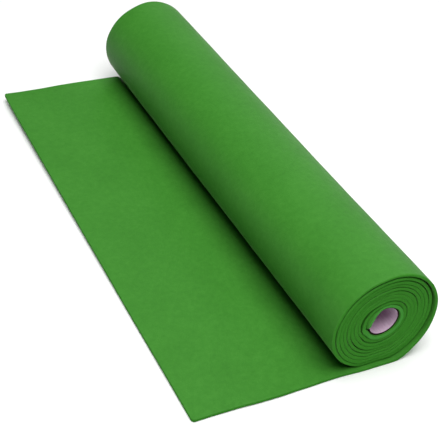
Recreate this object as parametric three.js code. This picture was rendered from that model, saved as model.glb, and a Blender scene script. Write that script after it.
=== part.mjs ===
// A roll of craft felt. One long strip of thick felt is wound clockwise on a cardboard tube, seen
// from its near end (-Y), and its last stretch is unrolled and lies flat towards -X.
//
// Millimetres, +Z up. The roll's axis runs along Y, and the origin is on the surface, under the
// middle of the whole thing.

import * as THREE from 'three';

// The cloth
const CLOTH_WIDTH = 450;
const FELT_THICKNESS = 2.5;
const LOOSE_LENGTH = 155; // from under the roll's axis to the cut end

// The tube that it is wound on
const TUBE_BORE = 24.6;
const TUBE_WALL = 1.2;
const TUBE_LENGTH = 445;
const TUBE_SET_BACK = 1; // behind the near edge of the innermost turn
const FIT_GAP = 0.3; // between the tube and the first turn

// The winding
const AXIS_HEIGHT = 44.8;
const FULL_TURNS = 9;
const START_ANGLE = 190; // where the strip's first edge lies on the tube, at its left
const FOOT_ANGLE = -90; // where the last turn has come down to the surface
const TURNS = FULL_TURNS + (START_ANGLE - FOOT_ANGLE) / 360;
const FOOT_PITCH = FELT_THICKNESS + 0.35; // from turn to turn where the roll's weight presses them

// The first turn hugs the tube, then climbs over the strip's first edge. Each turn outside it
// climbs there too, a little less.
const HUG_FADES_IN = 3; // turns
const CLIMB_SHARE = 0.22; // of a turn

// Past its first edge the strip is too stiff to follow the step, and bridges it with a hollow.
const HOLLOW_HEIGHT = 3.4;
const HOLLOW_ANGLE = 164;
const HOLLOW_HALF_WIDTH = 44;

// How far the outermost turn would reach from the axis if it went all the way round, by the angle
// seen from the near end, counter-clockwise from +X. The surface cuts it off below. It is widest
// at the lower right, where the slack of the loose end gathers.
const REACH = [
  { angle: -180, reach: 47.2 },
  { angle: -130, reach: 47.3 },
  { angle: -90, reach: 47.6 },
  { angle: -62, reach: 48.2 },
  { angle: -40, reach: 46.9 },
  { angle: -15, reach: 45.9 },
  { angle: 30, reach: 45.7 },
  { angle: 90, reach: 46.2 },
  { angle: 145, reach: 47.2 },
  { angle: 180, reach: 47.2 },
];

// How far the strip's near edge lies behind the corner of the loose end, by how many turns inside
// the foot it is: the roll's end is slightly dished.
const DRIFT = [
  { inside: 0, drift: -1.9 },
  { inside: 0.06, drift: -2 },
  { inside: 0.2, drift: -1.1 },
  { inside: 0.65, drift: 1.4 },
  { inside: 1.6, drift: 1.2 },
  { inside: 2.8, drift: 1.7 },
  { inside: 4.5, drift: 1.9 },
  { inside: 6.3, drift: 1.8 },
  { inside: TURNS, drift: 1.7 },
];

// The same, along the loose end: its cut edge bows out a little twice.
const LOOSE_DRIFT = [
  { x: -LOOSE_LENGTH, drift: 0 },
  { x: -137, drift: 0 },
  { x: -85, drift: -1.6 },
  { x: -36, drift: -0.7 },
  { x: 0, drift: -1.9 },
];

// The loose end rises gently towards its far edge, and comes down where the roll holds it.
const LIFT_HEIGHT = 6.2;
const LIFT_POWER = 1.6; // how late across the cloth it rises
const LIFT_ENDS_FROM = -35; // x where it starts to come down
const LIFT_ENDS_AT = -25;

// Steps of the surfaces
const STEPS_PER_TURN = 56;
const LOOSE_STEPS = 24;
const LIFT_STEPS = 8;
const TUBE_SIDES = 48;

const radians = THREE.MathUtils.degToRad;

function smooth(from, to, value) {
  const t = THREE.MathUtils.clamp((value - from) / (to - from), 0, 1);
  return t * t * (3 - 2 * t);
}

// The value in a table's column at a key between two of its rows, eased from row to row.
function lookUp(table, keyName, valueName, key) {
  let row = 0;
  while (row < table.length - 2 && key > table[row + 1][keyName]) {
    row += 1;
  }
  const here = table[row];
  const next = table[row + 1];
  const share = smooth(here[keyName], next[keyName], key);
  return THREE.MathUtils.lerp(here[valueName], next[valueName], share);
}

function wrapDegrees(angle) {
  return THREE.MathUtils.euclideanModulo(angle + 180, 360) - 180;
}

// The larger of two heights, with the corner between them rounded.
function softMax(a, b) {
  const rounding = 0.5; // mm
  return (a + b + Math.hypot(a - b, rounding)) / 2;
}

// How many pitches out from the tube the strip lies after so many turns.
function layer(turns) {
  const part = turns % 1;
  const hugging = Math.exp(-turns / HUG_FADES_IN);
  const climbed = smooth(1 - CLIMB_SHARE, 1, part);
  return turns - hugging * part * (1 - climbed);
}

// How much further out the strip lies because of the hollow. Its first half turn is under it.
function hollow(turns, angle) {
  if (turns < 0.5) {
    return 0;
  }
  const away = Math.abs(wrapDegrees(angle - HOLLOW_ANGLE)) / HOLLOW_HALF_WIDTH;
  return HOLLOW_HEIGHT * (1 - smooth(0, 1, away));
}

// The middle of the strip's thickness, in the plane of the roll's end.
function woundPoint(turns) {
  const angle = wrapDegrees(START_ANGLE - 360 * turns);
  const inner = TUBE_BORE / 2 + TUBE_WALL + FIT_GAP + FELT_THICKNESS / 2;
  const outer = lookUp(REACH, 'angle', 'reach', angle) - FELT_THICKNESS / 2;
  const bridged = hollow(TURNS, angle);
  const pitch = (outer - inner - bridged) / TURNS;
  const radius = inner + pitch * layer(turns) + hollow(turns, angle);
  const x = radius * Math.cos(radians(angle));
  const z = AXIS_HEIGHT + radius * Math.sin(radians(angle));
  const turnsBelow = Math.round(TURNS - turns);
  const resting = FELT_THICKNESS / 2 + turnsBelow * FOOT_PITCH;
  const held = turnsBelow === 0 ? Math.max(z, resting) : softMax(z, resting);
  return new THREE.Vector2(x, held);
}

function woundNormal(turns) {
  const step = 0.25 / STEPS_PER_TURN;
  const tangent = woundPoint(Math.min(turns + step, TURNS)).sub(woundPoint(Math.max(turns - step, 0)));
  return new THREE.Vector2(-tangent.y, tangent.x).normalize();
}

// How high the loose end lies above the surface, at a point of it.
function lift(x, share) {
  const free = smooth(LIFT_ENDS_AT, LIFT_ENDS_FROM, x);
  return LIFT_HEIGHT * free * share ** LIFT_POWER;
}

// One row of the strip, from its near edge to its far edge: points on its outer and its inner
// face. Outer is the side away from the tube, which lies downwards on the loose end.
function woundRow(turns) {
  const middle = woundPoint(turns);
  const half = woundNormal(turns).multiplyScalar(FELT_THICKNESS / 2);
  const drift = lookUp(DRIFT, 'inside', 'drift', TURNS - turns);
  return [0, 1].map((share) => {
    const y = drift + share * CLOTH_WIDTH;
    return {
      share,
      outer: [middle.x + half.x, y, middle.y + half.y],
      inner: [middle.x - half.x, y, middle.y - half.y],
    };
  });
}

function looseRow(x) {
  const drift = lookUp(LOOSE_DRIFT, 'x', 'drift', x);
  const row = [];
  for (let step = 0; step <= LIFT_STEPS; step += 1) {
    const share = step / LIFT_STEPS;
    const y = drift + share * CLOTH_WIDTH;
    const under = lift(x, share);
    row.push({ share, outer: [x, y, under], inner: [x, y, under + FELT_THICKNESS] });
  }
  return row;
}

// A closed body from rows of paired points. Two rows may have different numbers of points.
function stripGeometry(rows) {
  const corners = [];
  const triangle = (a, b, c) => corners.push(...a, ...b, ...c);

  const band = (row, next, side, turned) => {
    let i = 0;
    let j = 0;
    while (i < row.length - 1 || j < next.length - 1) {
      const stepRow = j === next.length - 1
        || (i < row.length - 1 && row[i + 1].share <= next[j + 1].share);
      const third = stepRow ? row[i + 1][side] : next[j + 1][side];
      if (turned) {
        triangle(row[i][side], third, next[j][side]);
      } else {
        triangle(row[i][side], next[j][side], third);
      }
      i += stepRow ? 1 : 0;
      j += stepRow ? 0 : 1;
    }
  };
  const wall = (a, b) => {
    triangle(a.inner, b.inner, b.outer);
    triangle(a.inner, b.outer, a.outer);
  };

  for (let r = 0; r < rows.length - 1; r += 1) {
    const row = rows[r];
    const next = rows[r + 1];
    band(row, next, 'outer', false);
    band(row, next, 'inner', true);
    wall(row[0], next[0]);
    wall(next[next.length - 1], row[row.length - 1]);
  }
  for (const [row, flip] of [[rows[0], true], [rows[rows.length - 1], false]]) {
    for (let i = 0; i < row.length - 1; i += 1) {
      wall(flip ? row[i + 1] : row[i], flip ? row[i] : row[i + 1]);
    }
  }

  const geometry = new THREE.BufferGeometry();
  geometry.setAttribute('position', new THREE.Float32BufferAttribute(corners, 3));
  geometry.computeVertexNormals();
  return geometry;
}

function makeFelt() {
  const rows = [];
  const woundSteps = Math.round(TURNS * STEPS_PER_TURN);
  for (let step = 0; step < woundSteps; step += 1) {
    rows.push(woundRow((TURNS * step) / woundSteps));
  }
  for (let step = 0; step <= LOOSE_STEPS; step += 1) {
    rows.push(looseRow((-LOOSE_LENGTH * step) / LOOSE_STEPS));
  }
  const material = new THREE.MeshStandardMaterial({ color: 0x3f8f34, roughness: 0.95, metalness: 0 });
  const felt = new THREE.Mesh(stripGeometry(rows), material);
  felt.name = 'felt';
  return felt;
}

function makeCoreTube() {
  const bore = TUBE_BORE / 2;
  const outside = bore + TUBE_WALL;
  const near = DRIFT[DRIFT.length - 1].drift + TUBE_SET_BACK;
  const far = near + TUBE_LENGTH;
  const wall = [
    new THREE.Vector2(bore, near),
    new THREE.Vector2(outside, near),
    new THREE.Vector2(outside, far),
    new THREE.Vector2(bore, far),
    new THREE.Vector2(bore, near),
  ];
  const material = new THREE.MeshStandardMaterial({ color: 0xb9a6b4, roughness: 0.8, metalness: 0 });
  const tube = new THREE.Mesh(new THREE.LatheGeometry(wall, TUBE_SIDES), material);
  tube.name = 'core_tube';
  tube.position.z = AXIS_HEIGHT;
  return tube;
}

const roll = new THREE.Group();
roll.add(makeFelt(), makeCoreTube());
roll.updateMatrixWorld(true);
const box = new THREE.Box3().setFromObject(roll, true);
roll.position.set(-(box.min.x + box.max.x) / 2, -(box.min.y + box.max.y) / 2, -box.min.z);

export default roll;
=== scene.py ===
# A roll of thick craft felt, wound on a cardboard tube, with its last stretch unrolled beside it.
import math

import bpy
import numpy as np
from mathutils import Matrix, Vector


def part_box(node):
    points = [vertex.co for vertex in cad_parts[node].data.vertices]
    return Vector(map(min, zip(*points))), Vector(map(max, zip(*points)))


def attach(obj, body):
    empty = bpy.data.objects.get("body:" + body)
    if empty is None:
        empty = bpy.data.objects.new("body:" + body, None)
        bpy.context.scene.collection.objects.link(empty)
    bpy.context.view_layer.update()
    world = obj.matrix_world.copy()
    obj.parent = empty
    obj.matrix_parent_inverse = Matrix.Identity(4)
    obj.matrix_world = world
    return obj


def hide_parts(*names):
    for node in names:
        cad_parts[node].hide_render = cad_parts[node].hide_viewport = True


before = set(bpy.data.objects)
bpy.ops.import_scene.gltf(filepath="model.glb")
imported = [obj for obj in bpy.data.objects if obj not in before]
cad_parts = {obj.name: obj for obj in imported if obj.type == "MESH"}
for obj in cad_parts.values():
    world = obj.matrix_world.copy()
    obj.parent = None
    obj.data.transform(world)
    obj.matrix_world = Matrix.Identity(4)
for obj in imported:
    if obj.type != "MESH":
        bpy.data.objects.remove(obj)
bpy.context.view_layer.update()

# ---------------------------------------------------------------------------------------------
# The camera. It looks down over the loose end on the near end of the roll, tipped a little to
# one side, through a long lens.

camera_data = bpy.data.cameras.new("camera")
camera_data.sensor_fit = "HORIZONTAL"
camera_data.sensor_width = 36.0
camera_data.lens = 84.8
camera = bpy.data.objects.new("camera", camera_data)
camera.location = (-0.34811, -0.64974, 0.56257)
camera.rotation_euler = [math.radians(turn) for turn in (52.51, -5.45, -26.342)]
bpy.context.scene.collection.objects.link(camera)
bpy.context.scene.camera = camera

# ---------------------------------------------------------------------------------------------
# The felt. One strip of pressed fibre, 450 mm wide and 2 m long, cut along all four sides and
# wound by hand, so that its turns lie unevenly and its near edge wanders in and out.

# Millimetres and degrees: x from the roll's axis, y from the near corner of the loose end and z
# from the surface that it rests on. An angle is seen from the near end, counter-clockwise from +X.
MM = 0.001
CLOTH_WIDTH = 450.0
FELT_THICKNESS = 2.5
LOOSE_LENGTH = 155.0  # from under the roll's axis to the cut end
TUBE_OUTSIDE = 13.5  # radius
FIT_GAP = 0.3  # between the tube and the first turn
AXIS_HEIGHT = 44.8
FULL_TURNS = 9
START_ANGLE = 190.0  # where the strip's first edge lies on the tube
FOOT_ANGLE = -90.0  # where the last turn has come down to the surface
TURNS = FULL_TURNS + (START_ANGLE - FOOT_ANGLE) / 360
FOOT_PITCH = FELT_THICKNESS + 0.35  # from turn to turn where the roll's weight presses them
FOOT_ROUNDING = 0.5  # where a turn bends from its round into its flat foot
HUG_FADES_IN = 3.0  # turns, which follow the step over the strip's first edge less and less
CLIMB_SHARE = 0.07  # of a turn, in which they climb that step
# The bump with which later turns bridge that step, and how many turns from the tube it starts
HOLLOW_HEIGHT, HOLLOW_ANGLE, HOLLOW_HALF_WIDTH = 2.3, 150.0, 50.0
HOLLOW_FROM = 1.5

# (angle, how far the outermost turn reaches from the axis)
REACH = [
    (-180, 47.2), (-130, 47.3), (-90, 47.6), (-62, 48.2), (-40, 46.9),
    (-15, 45.9), (30, 45.7), (90, 46.2), (145, 47.2), (180, 47.2),
]
# (turns inside the foot, how far the near edge lies behind the corner of the loose end)
DRIFT = [
    (0, -1.9), (0.06, -2.0), (0.2, -1.1), (0.65, 1.4), (1.6, 1.2),
    (2.8, 1.7), (4.5, 1.9), (6.3, 1.8), (TURNS, 1.7),
]
# (x on the loose end, how far its near edge lies behind its corner)
LOOSE_DRIFT = [(-LOOSE_LENGTH, 0), (-137, 0), (-85, -1.6), (-36, -0.7), (0, -1.9)]

# (turns from the tube, how far the near edge stands proud of what the dish gives it there)
PROUD = [
    (0, 1.2), (0.09, 1.2), (0.16, 0.3), (0.24, -0.1), (0.4, 0.7), (0.95, 0.6), (1.1, -0.2),
    (2.0, -0.1), (2.15, 0.3), (2.9, 0.2), (3.1, 0), (4.8, -0.2), (5.05, 0.5), (5.45, 0.5),
    (5.7, 0), (8.0, 0.1), (8.6, 0), (9.0, -0.2), (TURNS, 0),
]
# (turns from the tube, how far the first turn's near edge leans in over the tube's end)
LEAN = [(0, 0.9), (0.05, 1.4), (0.11, 1.6), (0.17, 1.0), (0.235, 0), (TURNS, 0)]
LEAN_DEPTH = 2.0  # behind the edge
# (turns from the tube, how far the gap on the strip's inner side stands open, from 0 to 1)
OPENING = [
    (0, 0), (0.96, 0.1), (1.0, 0.3), (1.15, 0.5), (1.5, 0.2), (1.9, 0.3), (2.05, 1), (2.25, 1),
    (2.4, 0.6), (2.6, 0.3), (2.7, 0.8), (2.9, 0.6), (3.0, 0.1), (3.7, 0.1), (4.0, 0.2), (4.6, 0.1),
    (4.72, 0.6), (4.86, 0.9), (5.0, 0.6), (5.15, 0.8), (5.3, 1), (5.42, 0.8), (5.5, 0.1),
    (5.8, 0.6), (6.0, 0.4), (6.15, 0.7), (6.3, 0.8), (6.45, 0.3), (6.55, 0), (6.8, 0.4),
    (7.0, 0.2), (7.3, 0.3), (7.5, 0), (7.9, 0.3), (8.1, 0.9), (8.2, 0.9), (8.45, 0.6),
    (8.55, 0), (9.0, 0.1), (9.07, 0.2), (9.16, 1), (9.25, 1), (9.45, 1), (9.55, 0.6), (9.62, 0),
    (TURNS, 0),
]
# Within so many turns of the tube, a gap between two turns opens from the first of these widths
# and is fully open at the second. Soft felt fills what isn't open, up to the depth it swells by.
WIDE_GAP_TURNS, WIDE_GAP_FROM, WIDE_GAP = 4, 1.3, 1.9
SWELLS_BY = 1.8

# (turns inside the foot, how far the strip flares out at the roll's near end)
FLARE = [
    (0, 0.2), (0.04, 0.7), (0.1, 1.0), (0.17, 1.9), (0.25, 1.1), (0.42, 0.9), (0.55, 0.5),
    (0.7, 0), (1.1, 0), (1.25, 0.35), (1.45, 0.35), (1.6, 0), (TURNS, 0),
]
FLARE_DEPTH = 130.0  # from the near edge to where it has died away
# (turns inside the foot, how far the far edge lies in from the width of the cloth)
FAR_NOTCH = [(0, 0), (0.5, 0.4), (0.58, 2.6), (0.66, 2.2), (0.74, 0), (TURNS, 0)]

CUT_SKEW = 2.0  # how much shorter the loose end is at its far edge than at its near edge
# (x on the loose end, how high its far edge lies)
LIFT = [(-LOOSE_LENGTH, 6.3), (-133, 5.7), (-85, 7.2), (-60, 6.9), (-34, 6.2)]
LIFT_POWER = 1.6  # how late across the cloth it rises
LIFT_ENDS_FROM, LIFT_ENDS_AT = -33.0, -22.0  # x, where the roll holds it down

# How far hand cutting and winding carry things off their lines
NEAR_WANDER, NEAR_LENGTHS = 0.25, (23, 41, 97, 160)
NEAR_SETTLES_IN = 20  # from the cut end
FAR_WANDER, FAR_LENGTHS = 0.35, (29, 53, 120, 210)
LOOSE_WAVES, LOOSE_WAVE_LENGTHS = 0.35, (74, 110, 163, 240)
ROLL_WAVES, ROLL_WAVE_LENGTHS = 0.2, (52, 87, 140, 230)

END_ROUNDING = 0.5  # of the strip's two ends, across the thickness
LOOSE_ROUNDING, WOUND_ROUNDING = 0.35, 0.3  # of its long cut edges, across the thickness
OPEN_ROUNDING, OUTER_ROUNDING = 0.8, 1.0  # where a gap stands open, and on the outermost turn
CORNER_ROUNDING = 2.8  # of the loose end's corners, seen from above
ROW_STEP = 1.95  # along the strip
STATIONS = 36  # from edge to edge
EDGE_STEPS = 4  # round half of a cut edge
NORMAL_STEP = 0.004  # of a turn
TABLE_STEPS = 12000  # of the table that gives the turns by the distance along the strip


def smooth(low, high, value):
    """3 t squared less 2 t cubed, with t the value's place from low to high, held to 0 and 1."""
    t = np.clip((value - low) / (high - low), 0, 1)
    return t * t * (3 - 2 * t)


def eased(table, at):
    """A table's second column at places in its first, with a smooth step from row to row."""
    places, values = np.transpose(table)
    row = np.clip(np.searchsorted(places, at) - 1, 0, len(places) - 2)
    share = smooth(places[row], places[row + 1], at)
    return values[row] + (values[row + 1] - values[row]) * share


def waves(at, lengths, seed):
    """The mean of sine waves of the given lengths, each started at a place drawn from the seed."""
    starts = np.random.default_rng(seed).uniform(0, 2 * math.pi, len(lengths))
    return sum(np.sin(2 * math.pi * at / n + s) for n, s in zip(lengths, starts)) / len(lengths)


def wrap_degrees(angle):
    """The same angle from -180 up to 180: with a half turn added, its remainder by a whole turn,
    less the half turn."""
    return (angle + 180) % 360 - 180


def hollow(turns, angle):
    """How far the strip bridges its own first edge, from halfway through its second turn on: the
    bump's height, times one less a smooth step of how far the angle is from its middle."""
    away = np.abs(wrap_degrees(angle - HOLLOW_ANGLE)) / HOLLOW_HALF_WIDTH
    return HOLLOW_HEIGHT * (1 - smooth(0, 1, away)) * (turns >= HOLLOW_FROM)


def wound_middle(turns):
    """x and z of the middle of the thickness after so many turns: a spiral from the tube to the
    outer reach, which climbs over its own start near each whole turn, with its foot cut flat by
    a softened maximum of its own height and the height at which it would rest."""
    angle = wrap_degrees(START_ANGLE - 360 * turns)
    inner = TUBE_OUTSIDE + FIT_GAP + FELT_THICKNESS / 2
    outer = eased(REACH, angle) - FELT_THICKNESS / 2
    pitch = (outer - inner - hollow(TURNS, angle)) / TURNS
    part = turns % 1
    layer = turns - np.exp(-turns / HUG_FADES_IN) * part * (1 - smooth(1 - CLIMB_SHARE, 1, part))
    radius = inner + pitch * layer + hollow(turns, angle)
    x = radius * np.cos(np.radians(angle))
    z = AXIS_HEIGHT + radius * np.sin(np.radians(angle))
    turns_below = np.round(TURNS - turns)
    resting = FELT_THICKNESS / 2 + turns_below * FOOT_PITCH
    rounding = np.where(turns_below == 0, 0, FOOT_ROUNDING)
    return np.stack([x, (z + resting + np.hypot(z - resting, rounding)) / 2], -1)


def wound_normal(turns):
    """The way out from the tube: the strip's own way, from two points close by, turned square."""
    ahead = wound_middle(np.minimum(turns + NORMAL_STEP, TURNS))
    tangent = ahead - wound_middle(np.maximum(turns - NORMAL_STEP, 0))
    tangent /= np.linalg.norm(tangent, axis=-1, keepdims=True)
    return np.stack([-tangent[..., 1], tangent[..., 0]], -1)


# The turns as a function of the distance along the strip, from its first edge.
turns_table = np.linspace(0, TURNS, TABLE_STEPS)
steps = np.linalg.norm(np.diff(wound_middle(turns_table), axis=0), axis=1)
length_table = np.concatenate([[0], np.cumsum(steps)])
WOUND_LENGTH = length_table[-1]
STRIP_LENGTH = WOUND_LENGTH + LOOSE_LENGTH

# Rows along the strip, closer together where its two ends are rounded.
close_rows = np.array([0, 0.08, 0.25, 0.5, 0.9, 1.5, 2.3, 3.2])
even_from = 4.4
even_count = round((STRIP_LENGTH - 2 * even_from) / ROW_STEP)
even_rows = np.linspace(even_from, STRIP_LENGTH - even_from, even_count)
along = np.concatenate([close_rows, even_rows, STRIP_LENGTH - close_rows[::-1]])
loose = along > WOUND_LENGTH
turns = np.interp(along, length_table, turns_table)
loose_x = np.where(loose, WOUND_LENGTH - along, 0)

middle = wound_middle(turns)
normal = wound_normal(turns)
middle[loose] = np.stack([loose_x[loose], np.full(loose.sum(), FELT_THICKNESS / 2)], -1)
normal[loose] = (0, -1)

# The air between a turn and what lies inside it: the tube for the first turn, the turn before for
# the rest. A narrow gap is filled, and what is filled counts as the strip's inner side.
inside = np.maximum(turns - 1, 0)
air = np.abs(np.sum((middle - wound_middle(inside)) * normal, -1)) - FELT_THICKNESS
to_axis = np.linalg.norm(middle - (0, AXIS_HEIGHT), axis=-1)
to_tube = to_axis - FELT_THICKNESS / 2 - TUBE_OUTSIDE - FIT_GAP
air = np.where(loose, 0, np.where(turns < 1, np.maximum(to_tube, 0), air))
opening = np.where(loose, 0, eased(OPENING, turns))
wide = smooth(WIDE_GAP_FROM, WIDE_GAP, air) * (turns >= 1) * (turns < WIDE_GAP_TURNS)
opening = np.maximum(opening, wide)
filling = np.minimum(air, SWELLS_BY) * (1 - opening)

# The section across the strip: how far across each point is, from 0 to 1, and for a rounding of 1
# how far in from the edge it is and how much is taken off half the thickness. It starts in the
# middle of the near edge's face, goes over one side and ends in the middle of the far edge's.
bend = np.linspace(0, math.pi / 2, EDGE_STEPS + 1)
edge_in = np.concatenate([[0], 1 - np.cos(bend)])
edge_off = np.concatenate([[0], 1 - np.sin(bend)])
edge_full = np.concatenate([[0], np.ones(EDGE_STEPS + 1)])
between = np.append(LEAN_DEPTH / CLOTH_WIDTH, np.linspace(0, 1, STATIONS)[1:-1])
across = np.concatenate([0 * edge_in, between, 0 * edge_in + 1])
section_in = np.concatenate([edge_in, 0 * between, -edge_in[::-1]])
section_off = np.concatenate([edge_off, 0 * between, edge_off[::-1]])
section_full = np.concatenate([edge_full, 0 * between + 1, edge_full[::-1]])


def round_off(distance, radius):
    """How far a quarter circle of a radius falls short at a distance from where it starts."""
    left = np.clip(radius - distance, 0, radius)
    return radius - np.sqrt(radius ** 2 - left ** 2)


def ripples(u, v, lengths, seed):
    """The mean of plane sine waves of the given lengths over u and v, their directions and
    starts drawn from the seed."""
    draw = np.random.default_rng(seed)
    total = 0
    for length in lengths:
        way, start = draw.uniform(0, math.pi), draw.uniform(0, 2 * math.pi)
        total = total + np.sin(2 * math.pi * (u * np.cos(way) + v * np.sin(way)) / length + start)
    return total / len(lengths)


def felt_surface():
    """The points of the closed strip, a row for each place along it and a column for each point
    round its section: the middle of the thickness, with half the thickness added along the
    normal for the outer side and taken away, with the filling, for the inner side."""
    to_foot = TURNS - turns
    drift = np.where(loose, eased(LOOSE_DRIFT, loose_x), eased(DRIFT, to_foot))
    near = drift - np.where(loose, 0, eased(PROUD, turns))
    to_cut_end = STRIP_LENGTH - along
    near_wander = NEAR_WANDER * waves(along, NEAR_LENGTHS, seed=11)
    near = near + near_wander * smooth(0, NEAR_SETTLES_IN, to_cut_end)
    far = drift + CLOTH_WIDTH + FAR_WANDER * waves(along, FAR_LENGTHS, seed=12)
    far = far - np.where(loose, 0, eased(FAR_NOTCH, to_foot))
    to_end = np.minimum(along, to_cut_end)
    corner = round_off(to_end, CORNER_ROUNDING)
    blunt = round_off(to_end, END_ROUNDING)
    u, v = along[:, None], across[None, :] * CLOTH_WIDTH

    # From 0 to 1: whether a place is on the outermost turn, whether its edge bulges there, and
    # whether it is clear of the foot.
    outermost = smooth(1, 0.85, to_foot) * ~loose
    bulging = outermost * smooth(0.25, 0.4, to_foot)
    off_the_foot = smooth(0, 0.12, to_foot)[:, None]
    rounding = WOUND_ROUNDING + (OPEN_ROUNDING - WOUND_ROUNDING) * opening
    rounding = rounding + (OUTER_ROUNDING - rounding) * bulging
    rounding = np.where(loose, LOOSE_ROUNDING, rounding)[:, None]

    y = (near + corner)[:, None] * (1 - across) + (far - corner)[:, None] * across
    y = y + section_in * rounding
    free = smooth(LIFT_ENDS_AT, LIFT_ENDS_FROM, loose_x)[:, None] * loose[:, None]
    lift = eased(LIFT, loose_x)[:, None] * free * across ** LIFT_POWER
    lift = lift + LOOSE_WAVES * free * (1 + ripples(u, v, LOOSE_WAVE_LENGTHS, seed=21))
    swell = ROLL_WAVES * outermost[:, None] * (1 + ripples(u, v, ROLL_WAVE_LENGTHS, seed=22))
    swell = swell * off_the_foot
    flare = np.where(loose, 0, eased(FLARE, to_foot))[:, None]
    swell = swell + flare * (1 - smooth(0, FLARE_DEPTH, v))
    lean = np.where(loose, 0, eased(LEAN, turns))[:, None]
    swell = swell - lean * np.clip(1 - v / LEAN_DEPTH, 0, 1)
    skew = -loose_x[:, None] / LOOSE_LENGTH * CUT_SKEW * across

    sides = []
    for way, more in ((1, 0 * filling), (-1, filling)):
        half = (FELT_THICKNESS / 2 + more - blunt)[:, None] - section_off * rounding
        off = way * half * section_full + swell
        x = middle[:, :1] + normal[:, :1] * off + skew
        z = middle[:, 1:] + normal[:, 1:] * off + lift
        sides.append(np.stack([x, y, np.maximum(z, 0)], -1))
    outer, inner = sides
    return np.concatenate([outer, inner[:, -2:0:-1]], 1)


def strip_faces(rows, half):
    """Quads round and along a closed strip whose section has `half` points on each side, and a
    row of quads and two triangles over each of its ends, all facing out."""
    ring = 2 * half - 2
    i, j = np.meshgrid(np.arange(rows - 1), np.arange(ring), indexing="ij")
    quads = np.stack([i * ring + j, (i + 1) * ring + j,
                      (i + 1) * ring + (j + 1) % ring, i * ring + (j + 1) % ring], -1)
    side = np.arange(half)
    other = (ring - side) % ring
    cap = np.stack([side[:-1], side[1:], other[1:], other[:-1]], -1)[1:-1]
    tips = np.array([[0, 1, other[1]], [half - 2, half - 1, other[half - 2]]])
    last = (rows - 1) * ring
    faces = quads.reshape(-1, 4).tolist() + cap.tolist() + (last + cap[:, ::-1]).tolist()
    return faces + tips.tolist() + (last + tips[:, ::-1]).tolist()


def make_piece(name, points, faces):
    """A smooth-shaded mesh object at the origin, of points in metres."""
    mesh = bpy.data.meshes.new(name)
    mesh.from_pydata(points.reshape(-1, 3).tolist(), [], faces)
    mesh.shade_smooth()
    mesh.validate()
    piece = bpy.data.objects.new(name, mesh)
    bpy.context.scene.collection.objects.link(piece)
    return piece


def give_map(piece, name, u, v):
    """A UV map with a value of u and v, in metres, for each vertex."""
    corner = np.zeros(len(piece.data.loops), np.int64)
    piece.data.loops.foreach_get("vertex_index", corner)
    layer = piece.data.uv_layers.new(name=name)
    layer.data.foreach_set("uv", np.stack([u.ravel()[corner], v.ravel()[corner]], -1).ravel())


# The roll's axis and the loose end's near corner, from where the tube lies in the frame.
TUBE_SET_BACK = 1.0  # behind the near edge of the innermost turn
TUBE_NEAR = DRIFT[-1][1] + TUBE_SET_BACK
tube_low, tube_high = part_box("core_tube")
axis_x = (tube_low.x + tube_high.x) / 2
corner_y = tube_low.y - TUBE_NEAR * MM
felt = make_piece("felt_strip", felt_surface() * MM + (axis_x, corner_y, 0),
                  strip_faces(len(along), len(across)))

# The faces of the cut edges and ends take the second material. Round an edge they reach to where
# the rounding has come within this share of the full thickness.
CUT_SHOWS_TO = 0.2
ring_across = np.concatenate([across, across[-2:0:-1]]) * CLOTH_WIDTH
ring_in = np.concatenate([section_in, section_in[-2:0:-1]])
ring_off = np.concatenate([section_off, section_off[-2:0:-1]])
at_edge = (ring_across == 0) | (ring_across == CLOTH_WIDTH)
at_edge = at_edge & ((ring_off > CUT_SHOWS_TO) | (ring_in == 0))
edge_faces = np.tile(at_edge & np.roll(at_edge, -1), len(along) - 1)
end_faces = np.ones(len(felt.data.polygons) - len(edge_faces), bool)
is_cut = np.concatenate([edge_faces, end_faces])
felt.data.polygons.foreach_set("material_index", is_cut.astype(np.int32))
give_map(felt, "cloth", MM * (along[:, None] + 0 * ring_across),
         MM * (0 * along[:, None] + ring_across))


def linear(colour):
    """An sRGB hex colour as linear red, green, blue and 1."""
    parts = [int(colour[n:n + 2], 16) / 255 for n in (0, 2, 4)]
    return [c / 12.92 if c <= 0.04045 else ((c + 0.055) / 1.055) ** 2.4 for c in parts] + [1.0]


def add(tree, kind, inputs=None, **settings):
    """Adds a node with its settings. An input is a value, or the output that is linked to it."""
    node = tree.nodes.new(kind)
    for name, value in settings.items():
        setattr(node, name, value)
    for name, value in (inputs or {}).items():
        if isinstance(value, bpy.types.NodeSocket):
            tree.links.new(value, node.inputs[name])
        else:
            node.inputs[name].default_value = value
    return node


def new_material(name):
    material = bpy.data.materials.new(name)
    material.use_nodes = True
    material.node_tree.nodes.clear()
    return material, material.node_tree


# Pressed wool-blend felt: dyed fibres matted with no weave. It is matt all over, a little cloudy
# where the batt was thicker, and the loose fibres on its face catch light that skims it.
# Its fibres are a fiftieth of a millimetre thick, so the matting is drawn much coarser to show.
FELT_DEEP, FELT_MID, FELT_PALE = "2f711f", "3b8228", "499134"
MATTING_SIZE, CLUMP_SIZE, CLOUD_SIZE = 1.1, 4.5, 45.0
PRESSED_RELIEF = 0.6
felt_material, tree = new_material("pressed_felt_green")
place = add(tree, "ShaderNodeTexCoord").outputs["Object"]
matting = add(tree, "ShaderNodeTexNoise", {
    "Vector": place, "Scale": 1 / (MATTING_SIZE * MM), "Detail": 3.0, "Roughness": 0.65,
    "Distortion": 0.6})
clumps = add(tree, "ShaderNodeTexNoise", {
    "Vector": place, "Scale": 1 / (CLUMP_SIZE * MM), "Detail": 2.0, "Roughness": 0.6})
clouds = add(tree, "ShaderNodeTexNoise", {
    "Vector": place, "Scale": 1 / (CLOUD_SIZE * MM), "Detail": 3.0, "Roughness": 0.55})
both = add(tree, "ShaderNodeMix", {
    0: 0.45, 2: clumps.outputs["Fac"], 3: matting.outputs["Fac"]}, data_type="FLOAT")
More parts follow.
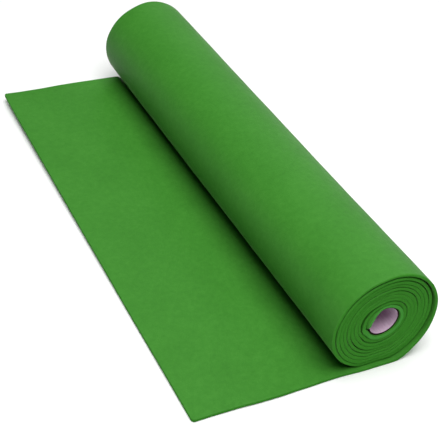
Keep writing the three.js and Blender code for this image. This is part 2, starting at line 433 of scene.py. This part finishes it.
mottle = add(tree, "ShaderNodeMix", {
    0: 0.3, 2: both.outputs[0], 3: clouds.outputs["Fac"]}, data_type="FLOAT")
colour = add(tree, "ShaderNodeValToRGB", {"Fac": mottle.outputs[0]})
colour.color_ramp.elements[0].position = 0.15
colour.color_ramp.elements[0].color = linear(FELT_DEEP)
colour.color_ramp.elements[1].position = 0.85
colour.color_ramp.elements[1].color = linear(FELT_PALE)
colour.color_ramp.elements.new(0.5).color = linear(FELT_MID)
bump = add(tree, "ShaderNodeBump", {
    "Height": both.outputs[0], "Strength": 0.5, "Distance": PRESSED_RELIEF * MM})
shader = add(tree, "ShaderNodeBsdfPrincipled", {
    "Base Color": colour.outputs["Color"], "Roughness": 0.6, "IOR": 1.4,
    "Specular IOR Level": 0.25, "Sheen Weight": 0.3, "Sheen Roughness": 0.15,
    "Sheen Tint": linear("e6dfcc"), "Normal": bump.outputs["Normal"]})
add(tree, "ShaderNodeOutputMaterial", {"Surface": shader.outputs["BSDF"]})
felt.data.materials.append(felt_material)

# Where the felt is cut it has no pressed skin: the fibres' ends stand open, so it is deeper in
# colour, rougher and without sheen. Their tufts are drawn coarser than they are, to show.
# The innermost turn's edge is painted paler: a painted highlight for the light its proud edge
# round the bore catches.
CUT_DEEP, CUT_PALE, CUT_PAINTED_HIGHLIGHT = "256f14", "4a9736", "46953a"
TUFT_SIZE, CUT_RELIEF = 0.9, 0.5
FIRST_TURN = 95.0  # its length along the strip
cut_felt_material, tree = new_material("cut_felt_edge")
place = add(tree, "ShaderNodeTexCoord").outputs["Object"]
ends = add(tree, "ShaderNodeTexNoise", {
    "Vector": place, "Scale": 1 / (TUFT_SIZE * MM), "Detail": 3.0, "Roughness": 0.7})
tone = add(tree, "ShaderNodeMix", {
    0: ends.outputs["Fac"], 6: linear(CUT_DEEP), 7: linear(CUT_PALE)}, data_type="RGBA")
bump = add(tree, "ShaderNodeBump", {
    "Height": ends.outputs["Fac"], "Strength": 0.6, "Distance": CUT_RELIEF * MM})
cloth_place = add(tree, "ShaderNodeUVMap", uv_map="cloth")
place_along = add(tree, "ShaderNodeSeparateXYZ", {"Vector": cloth_place.outputs["UV"]})
# Painted highlight: along the strip's first turn the cut edge is painted paler, fading out past
# its end.
painted_highlight = add(tree, "ShaderNodeMapRange", {
    "Value": place_along.outputs["X"],
    "From Min": 1.1 * FIRST_TURN * MM, "From Max": 0.9 * FIRST_TURN * MM})
tone = add(tree, "ShaderNodeMix", {
    0: painted_highlight.outputs["Result"], 6: tone.outputs[2], 7: linear(CUT_PAINTED_HIGHLIGHT)}, data_type="RGBA")
shader = add(tree, "ShaderNodeBsdfPrincipled", {
    "Base Color": tone.outputs[2], "Roughness": 1.0, "IOR": 1.4, "Specular IOR Level": 0.05,
    "Normal": bump.outputs["Normal"]})
add(tree, "ShaderNodeOutputMaterial", {"Surface": shader.outputs["BSDF"]})
felt.data.materials.append(cut_felt_material)

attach(felt, "root")
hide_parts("felt")

# ---------------------------------------------------------------------------------------------
# The tube that the felt is wound on: strips of grey chipboard glued in a spiral and cut square,
# with a smoother mauve-grey paper as the innermost ply. It slides free in the first turn.

TUBE_BORE = 24.6
TUBE_LENGTH = 445.0
RIM_ROUNDING = 0.25
RIM_STEPS = 4
TUBE_SIDES = 96
TUBE_ROWS = 50


def tube_surface():
    """Points at a radius round the axis, a row for each side and a column for each point of a
    closed section: the near rim, rounded at both its edges, the outside, the far rim the same,
    and the bore."""
    inner, outer = TUBE_BORE / 2, TUBE_OUTSIDE
    bend = np.linspace(0, math.pi / 2, RIM_STEPS)
    back, fall = RIM_ROUNDING * (1 - np.sin(bend)), RIM_ROUNDING * (1 - np.cos(bend))
    lengthwise = np.linspace(0, TUBE_LENGTH, TUBE_ROWS)[1:-1]
    radius = np.concatenate([inner + fall, outer - fall[::-1], 0 * lengthwise + outer,
                             outer - fall, inner + fall[::-1], 0 * lengthwise + inner])
    length = np.concatenate([back, back[::-1], lengthwise,
                             TUBE_LENGTH - back, TUBE_LENGTH - back[::-1], lengthwise[::-1]])
    turn = np.linspace(0, 2 * math.pi, TUBE_SIDES, endpoint=False)[:, None]
    points = np.stack([radius * np.cos(turn), length + 0 * turn, radius * np.sin(turn)], -1)
    return points + (0, TUBE_NEAR, AXIS_HEIGHT)


def ring_faces(sides, columns):
    """Quads over a grid that closes on itself both ways, facing out from its section."""
    i, j = np.meshgrid(np.arange(sides), np.arange(columns), indexing="ij")
    near, far = i * columns, (i + 1) % sides * columns
    after = (j + 1) % columns
    return np.stack([near + j, near + after, far + after, far + j], -1).reshape(-1, 4).tolist()


tube_points = tube_surface()
tube = make_piece("board_tube", tube_points * MM + (axis_x, corner_y, 0),
                  ring_faces(TUBE_SIDES, tube_points.shape[1]))

# Paper-faced chipboard: a soft, slightly shiny ply with long fibres, drawn coarser than they are
# so that they show.
PLY_DARK, PLY_LIGHT = "b896b2", "e2cede"
FIBRE_WIDTH, FIBRE_LENGTH, PLY_RELIEF = 1.2, 6.0, 0.2
board_material, tree = new_material("spiral_wound_board")
place = add(tree, "ShaderNodeTexCoord").outputs["Object"]
fibre_place = add(tree, "ShaderNodeMapping", {
    "Vector": place, "Scale": (
        1 / (FIBRE_WIDTH * MM), 1 / (FIBRE_LENGTH * MM), 1 / (FIBRE_WIDTH * MM))})
fibres = add(tree, "ShaderNodeTexNoise", {
    "Vector": fibre_place.outputs["Vector"], "Scale": 1.0, "Detail": 3.0, "Roughness": 0.6})
ply = add(tree, "ShaderNodeMix", {
    0: fibres.outputs["Fac"], 6: linear(PLY_DARK), 7: linear(PLY_LIGHT)}, data_type="RGBA")
ply_bump = add(tree, "ShaderNodeBump", {
    "Height": fibres.outputs["Fac"], "Strength": 0.3, "Distance": PLY_RELIEF * MM})
shader = add(tree, "ShaderNodeBsdfPrincipled", {
    "Base Color": ply.outputs[2], "Roughness": 0.6, "IOR": 1.45,
    "Specular IOR Level": 0.4, "Normal": ply_bump.outputs["Normal"]})
add(tree, "ShaderNodeOutputMaterial", {"Surface": shader.outputs["BSDF"]})
tube.data.materials.append(board_material)

# Raw board where the tube is cut: dull, with the coarse grain of waste paper, its grey-brown
# painted down to near black as painted shade for the shadowed gap round the set-back rim.
SHADED_BOARD_DARK, SHADED_BOARD_LIGHT = "1c1411", "30251f"
BOARD_GRAIN = 0.9
shaded_cut_material, tree = new_material("cut_chipboard_painted_shade")
place = add(tree, "ShaderNodeTexCoord").outputs["Object"]
grain = add(tree, "ShaderNodeTexNoise", {
    "Vector": place, "Scale": 1 / (BOARD_GRAIN * MM), "Detail": 3.0, "Roughness": 0.7})
cut = add(tree, "ShaderNodeMix", {
    0: grain.outputs["Fac"], 6: linear(SHADED_BOARD_DARK), 7: linear(SHADED_BOARD_LIGHT)}, data_type="RGBA")
shader = add(tree, "ShaderNodeBsdfPrincipled", {
    "Base Color": cut.outputs[2], "Roughness": 0.95, "IOR": 1.4, "Specular IOR Level": 0.2})
add(tree, "ShaderNodeOutputMaterial", {"Surface": shader.outputs["BSDF"]})
tube.data.materials.append(shaded_cut_material)

# The faces of the two rims take the second material, with its painted shade.
face_middles = np.zeros(len(tube.data.polygons) * 3)
tube.data.polygons.foreach_get("center", face_middles)
from_end = (face_middles.reshape(-1, 3)[:, 1] - corner_y) / MM - TUBE_NEAR
at_rim = np.minimum(from_end, TUBE_LENGTH - from_end) < RIM_ROUNDING
tube.data.polygons.foreach_set("material_index", at_rim.astype(np.int32))

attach(tube, "root")
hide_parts("core_tube")

# ---------------------------------------------------------------------------------------------
# The floor and the light: a plain flat sheet of white paper under soft lamps. Most of the light
# comes from above, and a little from behind the roll on its far side.

FLOOR_HALF = 4.0  # metres, as are the lamps' places and sizes
FLOOR_HEIGHT = -0.0002
FLOOR_WHITE = "fafafa"
SKY_STRENGTH = 0.03
floor_mesh = bpy.data.meshes.new("floor")
floor_mesh.from_pydata([(x * FLOOR_HALF, y * FLOOR_HALF, FLOOR_HEIGHT) for x, y in (
    (-1, -1), (1, -1), (1, 1), (-1, 1))], [], [(0, 1, 2, 3)])
floor = bpy.data.objects.new("floor", floor_mesh)
bpy.context.scene.collection.objects.link(floor)
floor_material, tree = new_material("white_paper_sweep")
shader = add(tree, "ShaderNodeBsdfPrincipled", {
    "Base Color": linear(FLOOR_WHITE), "Roughness": 0.9, "Specular IOR Level": 0.1})
add(tree, "ShaderNodeOutputMaterial", {"Surface": shader.outputs["BSDF"]})
floor_mesh.materials.append(floor_material)


def add_lamp(name, place, aim, size, power):
    """A square soft lamp at a place, turned to face a point, with its power in watts."""
    lamp_data = bpy.data.lights.new(name, "AREA")
    lamp_data.shape, lamp_data.size, lamp_data.energy = "SQUARE", size, power
    lamp = bpy.data.objects.new(name, lamp_data)
    lamp.location = place
    away = lamp.location - Vector(aim)
    lamp.rotation_euler = away.to_track_quat("Z", "Y").to_euler()
    bpy.context.scene.collection.objects.link(lamp)


add_lamp("overhead", (-0.17, -0.5, 2.0), (0, 0, 0), 1.7, 58)
add_lamp("back", (0.95, 1.35, 1.15), (0, 0, 0), 1.0, 6)
add_lamp("low", (1.7, 1.2, 0.5), (0, 0, 0.05), 0.8, 5)

sky = bpy.data.worlds.new("sky")
sky.use_nodes = True
sky.node_tree.nodes["Background"].inputs["Color"].default_value = (1, 1, 1, 1)
sky.node_tree.nodes["Background"].inputs["Strength"].default_value = SKY_STRENGTH
bpy.context.scene.world = sky
bpy.context.scene.view_settings.view_transform = "Standard"
